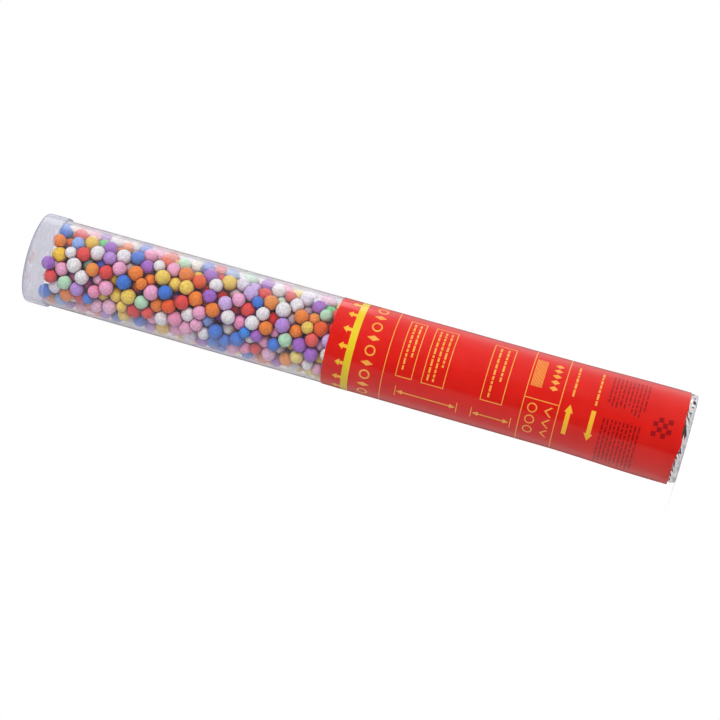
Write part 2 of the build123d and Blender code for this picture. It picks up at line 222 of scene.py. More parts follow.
FINE_RAGGED = 5
FINE_LINE = 0.95
FINE_LENGTHS = (1.6, 4.2)
FINE_GAP = 0.7
CHECKS = 4
CHECK_SIZE = 2.8
CHECK_LEFT, CHECK_LOW = -8.0, 10.2

# Stage
FLOOR_SIZE = 30.0
FLOOR_TONE = (0.82, 0.82, 0.82, 1.0)
FLOOR_GLOW = 0.5
FLOOR_NEAR, FLOOR_FAR = 0.12, 0.6
MIRROR_GLOW = 0.15
MIRROR_NEAR, MIRROR_FAR = 0.06, 0.2
WHITE = (1.0, 1.0, 1.0, 1.0)
FILL = (0.50, 0.505, 0.52, 1.0)
# What glossy surfaces see round the room, as (degrees from the front, brightness)
ROOM = ((-180, 0.04), (-165, 0.2), (-150, 0.6), (-130, 1.0), (-90, 0.68), (-30, 0.06), (38, 0.05), (44, 0.38),
        (90, 0.65), (130, 0.66), (155, 0.3), (170, 0.06), (180, 0.04))
# Lamps, as (name, place, width and height, power, whether glossy surfaces show it)
LAMPS = (
    ("key", (0.95, -1.1, 0.75), (1.2, 1.6), 17.5, False),
    ("side", (-1.3, -0.7, 0.5), (1.0, 1.4), 2.4, False),
    ("rim", (1.36, 0.63, 0.75), (0.7, 0.75), 3.0, True),
    ("back", (0.3, 1.4, 1.0), (1.4, 1.0), 3.0, False),
)
LAMP_TARGET = (0.0, 0.0, 0.2)

# The camera lies on its side, so that the standing popper reaches across the picture
CAMERA_SPOT = (0.0, -1.411, 0.03)
CAMERA_TARGET = (-0.007, 0.0, 0.1962)
CAMERA_ROLL = -74.25
CAMERA_LENS = 120.66
CAMERA_SENSOR = 36.0


def at(radius, angle, height):
    """The point at a radius, an angle from the front and a height."""
    turn = math.radians(angle)
    return (-radius * math.sin(turn), -radius * math.cos(turn), height)


def smooth_step(low, high, value):
    """Rises smoothly from 0 at low to 1 at high."""
    share = min(1.0, max(0.0, (value - low) / (high - low)))
    return share * share * (3 - 2 * share)


def ring_noise(angle, height, size):
    """Smooth noise round the axis, with features of about one size, from -1 to 1."""
    return noise.noise(Vector(at(FILM_RADIUS, angle, height)) / size)


# Mesh building
def lathe(profile):
    """A solid turned from a closed outline of (radius, height) points."""
    vertices = []
    rings = []
    for radius, height in profile:
        count = TURN_STEPS if radius > 0 else 1
        rings.append(range(len(vertices), len(vertices) + count))
        vertices += [at(radius, 360 * step / TURN_STEPS, height) for step in range(count)]
    faces = []
    for low, high in zip(rings, rings[1:] + rings[:1]):
        if len(low) == len(high) == 1:
            continue
        for step in range(TURN_STEPS):
            corners = [low[step % len(low)], low[(step + 1) % len(low)],
                       high[(step + 1) % len(high)], high[step % len(high)]]
            faces.append(list(dict.fromkeys(corners)))
    return vertices, faces


def arc(radius, height, size, start, end, steps=RIM_STEPS):
    """Outline points on a rounded corner about (radius, height), between two angles in degrees."""
    turns = [math.radians(start + (end - start) * step / steps) for step in range(steps + 1)]
    return [(radius + size * math.cos(turn), height + size * math.sin(turn)) for turn in turns]


def slab(top, bottom, closed=False):
    """A thin closed solid between two matching grids of points; closed joins the last row to the first."""
    rows = len(top)
    columns = len(top[0])
    vertices = [point for grid in (top, bottom) for row in grid for point in row]

    def index(layer, row, column):
        return (layer * rows + row % rows) * columns + column

    cells = range(rows if closed else rows - 1)
    faces = []
    for layer in (0, 1):
        for row in cells:
            for column in range(columns - 1):
                faces.append([index(layer, row, column), index(layer, row, column + 1),
                              index(layer, row + 1, column + 1), index(layer, row + 1, column)])
    edges = [((row, column), (row + 1, column)) for row in cells for column in (0, columns - 1)]
    if not closed:
        for row in (0, rows - 1):
            edges += [((row, column), (row, column + 1)) for column in range(columns - 1)]
    for here, there in edges:
        faces.append([index(0, *here), index(0, *there), index(1, *there), index(1, *here)])
    return vertices, faces


def join(meshes):
    """Several meshes as one."""
    vertices = []
    faces = []
    for points, cells in meshes:
        start = len(vertices)
        vertices += points
        faces += [[start + corner for corner in cell] for cell in cells]
    return vertices, faces


def add_piece(name, shape, material, body, crisp=None, stands_for=None):
    """Adds a closed mesh as a piece that rides on a body.
    crisp is the angle from which an edge stays crisp; without it, all edges do."""
    mesh = bpy.data.meshes.new(name)
    mesh.from_pydata(shape[0], [], shape[1])
    work = bmesh.new()
    work.from_mesh(mesh)
    bmesh.ops.recalc_face_normals(work, faces=work.faces)
    work.to_mesh(mesh)
    work.free()
    mesh.polygons.foreach_set("use_smooth", [crisp is not None] * len(mesh.polygons))
    if crisp is not None:
        mesh.set_sharp_from_angle(angle=math.radians(crisp))
    mesh.materials.append(material)
    piece = bpy.data.objects.new(name, mesh)
    bpy.context.scene.collection.objects.link(piece)
    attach(piece, body)
    if stands_for:
        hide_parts(stands_for)
    return piece


# Node building, with lengths in millimetres
def srgb(red, green, blue):
    """A colour written as 0 to 255, as the shaders take it."""
    shares = [value / 255 for value in (red, green, blue)]
    return [s / 12.92 if s <= 0.04045 else ((s + 0.055) / 1.055) ** 2.4 for s in shares] + [1.0]


def put(tree, kind, inputs=None, **settings):
    """Adds a node. An input that is given a socket is linked, and any other value is set."""
    node = tree.nodes.new(kind)
    for name, value in settings.items():
        setattr(node, name, value)
    for name, value in (inputs or {}).items():
        feed(tree, node.inputs[name], value)
    return node


def feed(tree, socket, value):
    """Links a socket to an input, or sets the input's value."""
    if isinstance(value, bpy.types.NodeSocket):
        tree.links.new(value, socket)
    else:
        socket.default_value = value


def new_material(name, **inputs):
    """A new material with its tree and its main shader; inputs use _ for spaces."""
    material = bpy.data.materials.new(name)
    material.use_nodes = True
    tree = material.node_tree
    shader = tree.nodes["Principled BSDF"]
    for key, value in inputs.items():
        feed(tree, shader.inputs[key.replace("_", " ")], value)
    return material, tree, shader


def place(tree, stretch=(1, 1, 1)):
    """The point on the piece in millimetres; stretch draws marks out along an axis."""
    coordinate = put(tree, "ShaderNodeTexCoord").outputs["Object"]
    scale = [1 / MM / share for share in stretch]
    return put(tree, "ShaderNodeMapping", {"Vector": coordinate, "Scale": scale}).outputs["Vector"]


def grain(tree, size, detail=3.0, stretch=(1, 1, 1)):
    """Noise with features of about one size, from 0 to 1."""
    inputs = {"Vector": place(tree, stretch), "Scale": 1 / size, "Detail": detail}
    return put(tree, "ShaderNodeTexNoise", inputs).outputs["Fac"]


def spread(tree, value, low, high, start=NOISE_LOW, end=NOISE_HIGH):
    """Maps a value between start and end to a range, and holds it there."""
    inputs = {"Value": value, "From Min": start, "From Max": end, "To Min": low, "To Max": high}
    return put(tree, "ShaderNodeMapRange", inputs).outputs["Result"]


def ramp(tree, value, stops, interpolation="LINEAR"):
    """Colours along a value; stops are (value, colour) pairs."""
    node = put(tree, "ShaderNodeValToRGB", {"Fac": value})
    node.color_ramp.interpolation = interpolation
    elements = node.color_ramp.elements
    while len(elements) < len(stops):
        elements.new(1.0)
    for element, (position, colour) in zip(elements, stops):
        element.position = position
        element.color = colour
    return node.outputs["Color"]


def calculate(tree, operation, *values):
    """One step of arithmetic."""
    inputs = dict(enumerate(values))
    return put(tree, "ShaderNodeMath", inputs, operation=operation).outputs["Value"]


def drift(tree, shader, low, high, size):
    """Lets the colour drift between two tones."""
    tones = ramp(tree, grain(tree, size), [(NOISE_LOW, low), (NOISE_HIGH, high)])
    feed(tree, shader.inputs["Base Color"], tones)


def roughen(tree, shader, value, low, high, start=NOISE_LOW, end=NOISE_HIGH):
    """Lets the roughness follow a value."""
    feed(tree, shader.inputs["Roughness"], spread(tree, value, low, high, start, end))


def bump(tree, shader, height, depth):
    """Raises the surface by a height from 0 to 1, times a depth."""
    inputs = {"Height": height, "Distance": depth * MM, "Strength": 1.0}
    feed(tree, shader.inputs["Normal"], put(tree, "ShaderNodeBump", inputs).outputs["Normal"])


# Materials of the outside
INK_ROUGHNESS = 0.04
LAMPS_THROUGH = (0.99, 0.99, 0.995, 1.0)
# Haze, as its least share, its gain towards a slanting view and the power of that gain
TUBE_HAZE = (0.0, 0.7, 1.8)
CAP_HAZE = (0.03, 0.65, 2.0)
HAZE_RANGE = (0.7, 1.3)
# Painted shade line along the edges of clear plastic: its gain and the power of its fall
PAINTED_EDGE_GAIN, PAINTED_EDGE_FALL = 4.0, 7.5
TUBE_TINT = (0.98, 0.98, 0.985, 1.0)
TUBE_SCUFFS = (0.015, 0.05)
TUBE_MILK = srgb(244, 240, 244)
# Grey of the painted shade line along the tube's edges
TUBE_PAINTED_EDGE = srgb(190, 184, 190)
TUBE_DEPTH = (0.50, 0.47, 0.52, 1.0)
TUBE_DENSITY = 80.0
CAP_TINT = (0.955, 0.957, 0.985, 1.0)
CAP_SCUFFS = (0.02, 0.06)
CAP_MILK = srgb(206, 208, 225)
CAP_DEPTH = (0.50, 0.52, 0.63, 1.0)
CAP_DENSITY = 10.0
FOAM_CELL = 1.0
CELL_TONES = (1.1, 0.78)
# Painted shade on the balls: its darkest value, its added saturation, and the tints of painted bounce light
# deep in the heap
PAINTED_SHADE_TONE = 0.2
PAINTED_SHADE_SATURATION = 1.5
PAINTED_BOUNCE_TONES = [(0.36, srgb(205, 50, 14)), (0.5, srgb(175, 22, 74)), (0.64, srgb(70, 36, 180))]
FOAM_TONES = {
    "white": [(0.0, srgb(246, 243, 244)), (0.5, srgb(238, 234, 246)), (0.8, srgb(247, 241, 228))],
    "pink": [(0.0, srgb(252, 176, 214)), (0.55, srgb(250, 194, 226)), (0.85, srgb(250, 154, 194))],
    "red": [(0.0, srgb(240, 72, 70)), (0.6, srgb(245, 96, 92)), (0.85, srgb(228, 46, 48))],
    "orange": [(0.0, srgb(252, 136, 42)), (0.55, srgb(252, 152, 64)), (0.85, srgb(246, 92, 22))],
    "yellow": [(0.0, srgb(252, 216, 92)), (0.6, srgb(250, 228, 126)), (0.85, srgb(252, 206, 64))],
    "mint": [(0.0, srgb(190, 236, 198)), (0.6, srgb(212, 238, 206)), (0.82, srgb(108, 220, 132))],
    "blue": [(0.0, srgb(56, 124, 224)), (0.55, srgb(46, 140, 236)), (0.85, srgb(144, 180, 244))],
    "purple": [(0.0, srgb(170, 104, 208)), (0.5, srgb(190, 144, 226)), (0.78, srgb(214, 184, 240))],
}


def printed_film(name, low, high, ink_roughness=0.0):
    """Glossy film in one ink: colour that drifts a little, and a gloss that is rubbed in places."""
    material, tree, shader = new_material(name, IOR=1.5)
    drift(tree, shader, low, high, size=14)
    rubbed = grain(tree, size=5, detail=5.0, stretch=(1, 1, 4))
    roughen(tree, shader, rubbed, low=0.07 + ink_roughness, high=0.15 + ink_roughness)
    bump(tree, shader, grain(tree, size=1.6, detail=2.0), depth=0.004)
    return material


def clear_plastic(name, tint, scuff_range, milk, haze, depth_tone, density, painted_edge_tone=None):
    """Clear plastic with faint scuffs, an uneven milky haze that grows with the slant of the view, a tone in
    its depth and, if asked, a painted shade line along its edges, where the haze turns grey. Lamps shine
    through it."""
    material, tree, shader = new_material(name, Base_Color=tint, Transmission_Weight=1.0, IOR=1.46)
    scuffs = grain(tree, size=3, detail=6.0, stretch=(1, 1, 6))
    roughen(tree, shader, scuffs, *scuff_range, start=0.4, end=0.75)
    bump(tree, shader, grain(tree, size=18, detail=1.0), depth=0.02)
    facing = put(tree, "ShaderNodeLayerWeight", {"Blend": 0.5}).outputs["Facing"]
    least, gain, fall = haze
    streaks = spread(tree, grain(tree, size=8, detail=2.0, stretch=(1, 1, 3)), *HAZE_RANGE)
    veil = calculate(tree, "MULTIPLY_ADD", calculate(tree, "POWER", facing, fall), gain, least)
    veil = calculate(tree, "MULTIPLY", veil, streaks)
    # Painted shade: towards the edges the haze turns grey and covers more, drawing a darker line along the
    # outline
    if painted_edge_tone:
        edge = calculate(tree, "MULTIPLY", calculate(tree, "POWER", facing, PAINTED_EDGE_FALL), PAINTED_EDGE_GAIN)
        milk = ramp(tree, edge, [(0.0, milk), (1.0, painted_edge_tone)])
        veil = calculate(tree, "MAXIMUM", veil, edge)
    lit = put(tree, "ShaderNodeBsdfDiffuse", {"Color": milk}).outputs["BSDF"]
    glowing = put(tree, "ShaderNodeBsdfTranslucent", {"Color": milk}).outputs["BSDF"]
    milky = put(tree, "ShaderNodeMixShader", {0: 0.5, 1: lit, 2: glowing}).outputs["Shader"]
    hazy = put(tree, "ShaderNodeMixShader", {0: veil, 1: shader.outputs["BSDF"], 2: milky}).outputs["Shader"]
    ray = put(tree, "ShaderNodeLightPath").outputs
    passes = calculate(tree, "MAXIMUM", ray["Is Shadow Ray"], ray["Is Diffuse Ray"])
    through = put(tree, "ShaderNodeBsdfTransparent", {"Color": LAMPS_THROUGH}).outputs["BSDF"]
    surface = put(tree, "ShaderNodeMixShader", {0: passes, 1: hazy, 2: through}).outputs["Shader"]
    depth = put(tree, "ShaderNodeVolumeAbsorption", {"Color": depth_tone, "Density": density})
    output = tree.nodes["Material Output"]
    feed(tree, output.inputs["Surface"], surface)
    feed(tree, output.inputs["Volume"], depth.outputs["Volume"])
    return material


def foil():
    """Metallised film, crumpled, with a gloss and a tone that vary a little from place to place."""
    material, tree, shader = new_material("silver_foil", Metallic=1.0)
    drift(tree, shader, srgb(234, 235, 238), srgb(249, 249, 250), size=2.5)
    roughen(tree, shader, grain(tree, size=1.2, detail=4.0), low=0.04, high=0.12)
    bump(tree, shader, grain(tree, size=2.2, detail=2.0), depth=0.04)
    return material


def foam(name, tones):
    """Moulded foam in a few tones of one colour: each ball takes one and shows its cells. Painted shade makes
    it darker and fuller in colour in crevices and deep in the heap, where painted bounce light tints it by
    its neighbours."""
    material, tree, shader = new_material(name, Roughness=0.62, IOR=1.4)
    chance = put(tree, "ShaderNodeNewGeometry").outputs["Random Per Island"]
    colour = ramp(tree, chance, tones, "CONSTANT")
    # Painted shade: each corner's share of painted light, low in crevices and deep in the heap
    painted_light = put(tree, "ShaderNodeAttribute", attribute_name="painted_light").outputs["Fac"]
    painted_shade_share = calculate(tree, "SUBTRACT", 1.0, painted_light)
    # Painted bounce light: where that share is low, the colour is tinted towards dark tones of neighbouring
    # balls
    painted_bounce = ramp(tree, grain(tree, size=12, detail=1.0), PAINTED_BOUNCE_TONES)
    bounce_tinted = put(tree, "ShaderNodeMixRGB", {"Fac": painted_shade_share, "Color1": colour, "Color2": painted_bounce}).outputs["Color"]
    cell_inputs = {"Vector": place(tree), "Scale": 1 / FOAM_CELL}
    cells = put(tree, "ShaderNodeTexVoronoi", cell_inputs).outputs["Distance"]
    mottle = spread(tree, grain(tree, size=2.2), low=0.94, high=1.04)
    mottle = calculate(tree, "MULTIPLY", mottle, spread(tree, cells, *CELL_TONES, start=0.2, end=0.65))
    # Painted shade darkens the colour and makes it fuller where the share of painted light is low
    shade = spread(tree, painted_light, low=PAINTED_SHADE_TONE, high=1.0, start=0.0, end=1.0)
    painted_saturation = spread(tree, painted_light, low=PAINTED_SHADE_SATURATION, high=1.0, start=0.0, end=1.0)
    inputs = {"Color": bounce_tinted, "Saturation": painted_saturation, "Value": calculate(tree, "MULTIPLY", mottle, shade)}
    shaded = put(tree, "ShaderNodeHueSaturation", inputs)
    feed(tree, shader.inputs["Base Color"], shaded.outputs["Color"])
    bump(tree, shader, cells, depth=0.12)
    return material


red_film = printed_film("red_film", srgb(213, 26, 19), srgb(221, 32, 24))
arrow_ink = printed_film("arrow_ink", srgb(242, 178, 44), srgb(248, 194, 62), INK_ROUGHNESS)
yellow_ink = printed_film("yellow_ink", srgb(224, 192, 30), srgb(232, 204, 44), INK_ROUGHNESS)
line_ink = printed_film("line_ink", srgb(240, 158, 62), srgb(246, 174, 80), INK_ROUGHNESS)
dark_ink = printed_film("dark_ink", srgb(146, 14, 20), srgb(158, 18, 24), INK_ROUGHNESS)
tube_plastic = clear_plastic("tube_plastic", TUBE_TINT, TUBE_SCUFFS, TUBE_MILK, TUBE_HAZE, TUBE_DEPTH,
                             TUBE_DENSITY, TUBE_PAINTED_EDGE)
cap_plastic = clear_plastic("cap_plastic", CAP_TINT, CAP_SCUFFS, CAP_MILK, CAP_HAZE, CAP_DEPTH, CAP_DENSITY)
silver_foil = foil()

# Materials of the inside
CARD_PITCH = 42.0
DRAWN = (1, 1, 30)
LATHED = (30, 30, 1)


def moulding(name, low, high):
    """Satin moulded plastic with a fine eroded texture."""
    material, tree, shader = new_material(name, IOR=1.48)
    drift(tree, shader, low, high, size=9)
    roughen(tree, shader, grain(tree, size=3), low=0.38, high=0.52)
    bump(tree, shader, grain(tree, size=0.5, detail=2.0), depth=0.02)
    return material


def rubber(name, low, high, pore):
    """Dull rubber with pores of one size."""
    material, tree, shader = new_material(name, IOR=1.5)
    drift(tree, shader, low, high, size=pore * 2)
    roughen(tree, shader, grain(tree, size=pore * 3), low=0.6, high=0.85)
    bump(tree, shader, grain(tree, size=pore, detail=4.0), depth=pore * 0.15)
    return material


def turned_metal(name, low, high, rough, stretch):
    """Metal with fine tool marks, drawn out along one way."""
    material, tree, shader = new_material(name, Metallic=1.0)
    drift(tree, shader, low, high, size=6)
    marks = grain(tree, size=0.25, stretch=stretch)
    roughen(tree, shader, marks, *rough)
    bump(tree, shader, marks, depth=0.006)
    return material


def wound_card():
    """Brown board wound in a spiral: fibres, and a thin dark seam once a turn."""
    material, tree, shader = new_material("wound_card", Roughness=0.85)
    axes = put(tree, "ShaderNodeSeparateXYZ", {"Vector": place(tree)}).outputs
    turn = calculate(tree, "DIVIDE", calculate(tree, "ARCTAN2", axes["Y"], axes["X"]), math.tau)
    climb = calculate(tree, "DIVIDE", axes["Z"], CARD_PITCH)
    wind = calculate(tree, "FRACT", calculate(tree, "ADD", climb, turn))
    tones = [(0.0, srgb(120, 92, 62)), (0.03, srgb(196, 168, 130)), (1.0, srgb(188, 158, 118))]
    fibres = spread(tree, grain(tree, size=0.8, detail=5.0, stretch=(3, 3, 1)), low=0.86, high=1.08)
    shade = put(tree, "ShaderNodeHueSaturation", {"Color": ramp(tree, wind, tones), "Value": fibres})
    feed(tree, shader.inputs["Base Color"], shade.outputs["Color"])
    bump(tree, shader, grain(tree, size=0.5, detail=4.0), depth=0.05)
    return material


def pressed_felt():
    """Grey felt of short fibres that lie every way."""
    material, tree, shader = new_material("pressed_felt", Roughness=0.95, Sheen_Weight=0.3)
    flecks = grain(tree, size=0.7, detail=6.0, stretch=(2, 1, 1))
    tones = [(0.35, srgb(120, 118, 115)), (0.5, srgb(170, 167, 163)), (0.65, srgb(205, 203, 198))]
    feed(tree, shader.inputs["Base Color"], ramp(tree, flecks, tones))
    bump(tree, shader, grain(tree, size=0.35, detail=5.0), depth=0.25)
    return material


card = wound_card()
felt = pressed_felt()
grey_moulding = moulding("grey_moulding", srgb(172, 174, 178), srgb(184, 186, 190))
white_moulding = moulding("white_moulding", srgb(236, 236, 232), srgb(244, 244, 241))
foam_rubber = rubber("foam_rubber", srgb(56, 56, 60), srgb(74, 74, 78), pore=0.8)
black_rubber = rubber("black_rubber", srgb(32, 32, 33), srgb(42, 42, 43), pore=0.3)
bottle_metal = turned_metal("bottle_metal", srgb(216, 217, 220), srgb(226, 227, 229), (0.25, 0.4), DRAWN)
pin_metal = turned_metal("pin_metal", srgb(208, 209, 211), srgb(222, 222, 224), (0.2, 0.35), LATHED)
brass = turned_metal("brass", srgb(204, 170, 92), srgb(220, 188, 108), (0.18, 0.3), LATHED)
spring_steel = turned_metal("spring_steel", srgb(170, 172, 176), srgb(190, 192, 195), (0.22, 0.38), LATHED)


# Clear tube and cap
def held(profile):
    """The same closed outline with points near the ends of its long runs, so that these stay straight in
    shading."""
    points = []
    for here, there in zip(profile, profile[1:] + profile[:1]):
        points.append(here)
        run = math.dist(here, there)
        if run > LONG_RUN and max(here[0], there[0]) > 0:
            shares = (HOLD / run, 1 - HOLD / run)
            points += [tuple(a + (b - a) * share for a, b in zip(here, there)) for share in shares]
    return points


def tube_shell():
    """The clear tube, with its cut rims slightly rounded."""
    inside = TUBE_BORE + RIM_ROUND
    outside = TUBE_RADIUS - RIM_ROUND
    profile = arc(inside, TUBE_BOTTOM + RIM_ROUND, RIM_ROUND, 180, 270)
    profile += arc(outside, TUBE_BOTTOM + RIM_ROUND, RIM_ROUND, 270, 360)
    profile += arc(outside, TUBE_TOP - RIM_ROUND, RIM_ROUND, 0, 90)
    profile += arc(inside, TUBE_TOP - RIM_ROUND, RIM_ROUND, 90, 180)
    return lathe(held(profile))


def cap_shell():
    """The cap: a flat end with a rounded edge and a skirt over the tube."""
    bore = CAP_RADIUS - CAP_WALL
    inner_top = CAP_TOP - CAP_END
    profile = [(0, CAP_TOP)]
    profile += arc(CAP_RADIUS - CAP_ROUND, CAP_TOP - CAP_ROUND, CAP_ROUND, 90, 0, CAP_STEPS)
    profile += arc(CAP_RADIUS - SKIRT_ROUND, CAP_BOTTOM + SKIRT_ROUND, SKIRT_ROUND, 0, -90)
    profile += arc(bore + SKIRT_ROUND, CAP_BOTTOM + SKIRT_ROUND, SKIRT_ROUND, -90, -180)
    profile += arc(bore - RIM_ROUND, inner_top - RIM_ROUND, RIM_ROUND, 0, 90)
    profile += [(0, inner_top)]
    return lathe(held(profile))


add_piece("tube_shell", tube_shell(), tube_plastic, "barrel", CRISP_RIM, "clear_tube")
add_piece("cap_shell", cap_shell(), cap_plastic, "cap", CRISP_RIM, "end_cap")


# Foam balls
def ball_places(node):
    """Centre and radius of each ball: the runs of corners that no face reaches across."""
    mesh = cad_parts[node].data
    points = np.empty(3 * len(mesh.vertices))
    mesh.vertices.foreach_get("co", points)
    points = points.reshape(-1, 3)
    corners = np.empty(len(mesh.loops), int)
    mesh.loops.foreach_get("vertex_index", corners)
    triangles = corners.reshape(-1, 3)
    reach = np.zeros(len(points) + 1, int)
    np.add.at(reach, triangles.min(axis=1) + 1, 1)
    np.add.at(reach, triangles.max(axis=1) + 1, -1)
    starts = np.flatnonzero(np.cumsum(reach)[:-1] == 0)
    places = []
    for run in np.split(points, starts[1:]):
        low = run.min(axis=0)
        high = run.max(axis=0)
        places.append(((low + high) / 2, (high - low).max() / 2))
    return places


def ball_grid():
    """Corners and faces of a unit ball made from a cube's six gridded sides."""
    steps = np.tan(np.linspace(-math.pi / 4, math.pi / 4, BALL_GRID + 1))
    shape = bmesh.new()
    for axis in range(3):
        for side in (-1, 1):
            grid = [[None] * (BALL_GRID + 1) for _ in steps]
            for row, a in enumerate(steps):
                for column, b in enumerate(steps):
                    point = np.roll([side, a, b], axis)
                    grid[row][column] = shape.verts.new(point / np.linalg.norm(point))
            for row in range(BALL_GRID):
                for column in range(BALL_GRID):
                    shape.faces.new([grid[row][column], grid[row][column + 1],
                                     grid[row + 1][column + 1], grid[row + 1][column]])
    bmesh.ops.remove_doubles(shape, verts=shape.verts, dist=BALL_WELD)
    shape.verts.index_update()
    points = np.array([v.co for v in shape.verts])
    faces = [[v.index for v in f.verts] for f in shape.faces]
    shape.free()
    return points, faces


def ball_points(unit, centre, radius, draw):
    """Corners of one ball: a little out of round, with flattened spots, and pressed in at the tube's wall."""
    ways = draw.normal(size=(BALL_FLATS + 1, 3))
    ways /= np.linalg.norm(ways, axis=1)[:, None]
    reach = BALL_SWELL - BALL_SQUASH * draw.random() * (unit @ ways[0]) ** 2
    for way in ways[1:]:
        reach -= FLAT_DEPTH * draw.random() * np.exp((unit @ way - 1) / FLAT_WIDTH)
    points = centre + radius * reach[:, None] * unit
    away = np.linalg.norm(points[:, :2], axis=1)
    points[:, :2] *= np.minimum(1.0, (TUBE_BORE - BALL_CLEARANCE) / away)[:, None]
    return points


def painted_light_of(points, centre, radius):
    """Share of painted light at each corner of a ball: painted shade lowers it near the next ball, and takes
    it down to 0 deep in the heap.
    """
    apart = np.linalg.norm(ALL_CENTRES - centre, axis=1)
    near = (apart > 0) & (apart < radius + ALL_RADII.max() + 2 * PAINTED_CREVICE)
    gaps = np.linalg.norm(points[:, None] - ALL_CENTRES[near], axis=2) - BALL_SWELL * ALL_RADII[near]
    clear = np.clip(gaps.min(axis=1) / PAINTED_CREVICE, 0.0, 1.0)
    away = np.linalg.norm(points[:, :2], axis=1)
    depth = np.minimum(TUBE_BORE - away, HEAP_TOP - points[:, 2])
    painted_shade_share = np.clip((depth - PAINTED_SHADE_NEAR) / (PAINTED_SHADE_DEEP - PAINTED_SHADE_NEAR), 0.0, 1.0)
    return (1 - PAINTED_CREVICE_SHARE + PAINTED_CREVICE_SHARE * clear) * (1 - painted_shade_share)


def foam_balls(places, draw):
    """Every ball of one colour, and the share of painted light at each of their corners."""
    unit, faces = ball_grid()
    meshes = []
    painted_light = []
    for centre, radius in places:
        points = ball_points(unit, centre, radius, draw)
        meshes.append((points.tolist(), faces))
        painted_light += painted_light_of(points, centre, radius).tolist()
    return join(meshes), painted_light


BALL_PLACES = {colour: ball_places(f"balls_{colour}") for colour in FOAM_TONES}
ALL_CENTRES = np.array([centre for places in BALL_PLACES.values() for centre, _ in places])
ALL_RADII = np.array([radius for places in BALL_PLACES.values() for _, radius in places])
HEAP_TOP = (ALL_CENTRES[:, 2] + ALL_RADII).max()
ball_draw = np.random.default_rng(SEED)
for colour, tones in FOAM_TONES.items():
    foam_shape, painted_light = foam_balls(BALL_PLACES[colour], ball_draw)
    piece = add_piece(f"foam_balls_{colour}", foam_shape, foam(f"foam_{colour}", tones), "charge", ALL_SMOOTH,
                      f"balls_{colour}")
    # The balls' painted shade, kept on their corners for the foam material
    piece.data.attributes.new("painted_light", "FLOAT", "POINT").data.foreach_set("value", painted_light)


# Film
def film_radius(angle, height):
    """The film's outside: a little wavy, lifted at its overlap, and loose towards the foot and at one corner
    of it."""
    wave = FILM_WAVE * ring_noise(angle, height, FILM_WAVE_SIZE)
    lift = SEAM_LIFT * smooth_step(SEAM_RAMP, 0, angle - SEAM_ANGLE + 360)
    corner = smooth_step(FLARE_WIDTH, 0, abs(angle - FLARE_ANGLE))
    flare = FLARE_LIFT * corner * smooth_step(LOWER_BOTTOM + FLARE_HEIGHT, LOWER_BOTTOM, height)
    loose = LOOSE_LIFT * (1 + LOOSE_LEAN * math.sin(math.radians(angle)))
    slack = loose * smooth_step(LOOSE_HIGH, LOOSE_LOW, height)
    return FILM_RADIUS + wave + lift + flare + slack


def film_sheet(bottom, top, waver=0.0):
    """One sheet of film wrapped round the tube with its ends overlapped; waver moves its lower edge."""
    rows = round((top - bottom) / FILM_ROW)
    outside = []
    inside = []
    for angle in range(SEAM_ANGLE - 360 - SEAM_OVERLAP, SEAM_ANGLE + 1):
        edge = bottom + waver * ring_noise(angle, 0, EDGE_WAVER_SIZE)
        if waver:
            edge -= TONGUE_LENGTH * smooth_step(TONGUE_WIDTH, 0, abs(angle - TONGUE_ANGLE))
        levels = [edge + (top - edge) * row / rows for row in range(rows + 1)]
        radii = [film_radius(angle, level) for level in levels]
        outside.append([at(r, angle, level) for r, level in zip(radii, levels)])
        inside.append([at(r - FILM_THICKNESS, angle, level) for r, level in zip(radii, levels)])
    return slab(outside, inside)


upper_sheet = film_sheet(UPPER_BOTTOM, UPPER_TOP)
lower_sheet = film_sheet(LOWER_BOTTOM, UPPER_BOTTOM - FILM_SPLIT, EDGE_WAVER)
add_piece("film_upper", upper_sheet, red_film, "barrel", CRISP_FILM, "label_upper")
add_piece("film_lower", lower_sheet, red_film, "base", CRISP_FILM, "label_lower")


# Printed shapes
def on_film(point, lift):
    """A printed point on the film, raised by a lift."""
    around, height = point
    angle = math.degrees(around * MM / FILM_RADIUS)
    return at(film_radius(angle, height * MM) + lift, angle, height * MM)


def steps_between(start, end):
    """Points from one place to another, no further apart than a print cell."""
    count = max(1, math.ceil(math.dist(start, end) / PRINT_CELL))
    return [tuple(np.add(start, np.subtract(end, start) * step / count)) for step in range(count + 1)]


def path(points):
    """Points along straight runs between a few places."""
    line = [points[0]]
    for start, end in zip(points, points[1:]):
        line += steps_between(start, end)[1:]
    return line


def patch(left, right, closed=False):
    """Ink between two lines of points."""
    widest = max(math.dist(a, b) for a, b in zip(left, right))
    across = max(1, math.ceil(widest / PRINT_CELL))
    top = []
    bottom = []
    for a, b in zip(left, right):
        row = [tuple(np.add(a, np.subtract(b, a) * step / across)) for step in range(across + 1)]
        top.append([on_film(point, INK_HEIGHT) for point in row])
        bottom.append([on_film(point, -INK_DEPTH) for point in row])
    return slab(top, bottom, closed)


def bar(left, right, low, high):
    """A filled rectangle."""
    return patch(steps_between((left, low), (right, low)), steps_between((left, high), (right, high)))


def ring_line(low, high):
    """A line right round the film."""
    return bar(SHEET_LEFT, SHEET_RIGHT, low, high)


def outline(left, right, low, high, line):
    """A rectangle drawn in thin line."""
    return [
        bar(left, right, low, low + line),
        bar(left, right, high - line, high),
        bar(left, left + line, low + line, high - line),
        bar(right - line, right, low + line, high - line),
    ]


def turned(points, origin, direction):
    """Moves (along, across) points to an origin, with along turned to a direction in degrees from upwards."""
    turn = math.radians(direction)
    ahead = np.array([math.sin(turn), math.cos(turn)])
    side = np.array([math.cos(turn), -math.sin(turn)])
    return [tuple(np.array(origin) + a * ahead + b * side) for a, b in points]


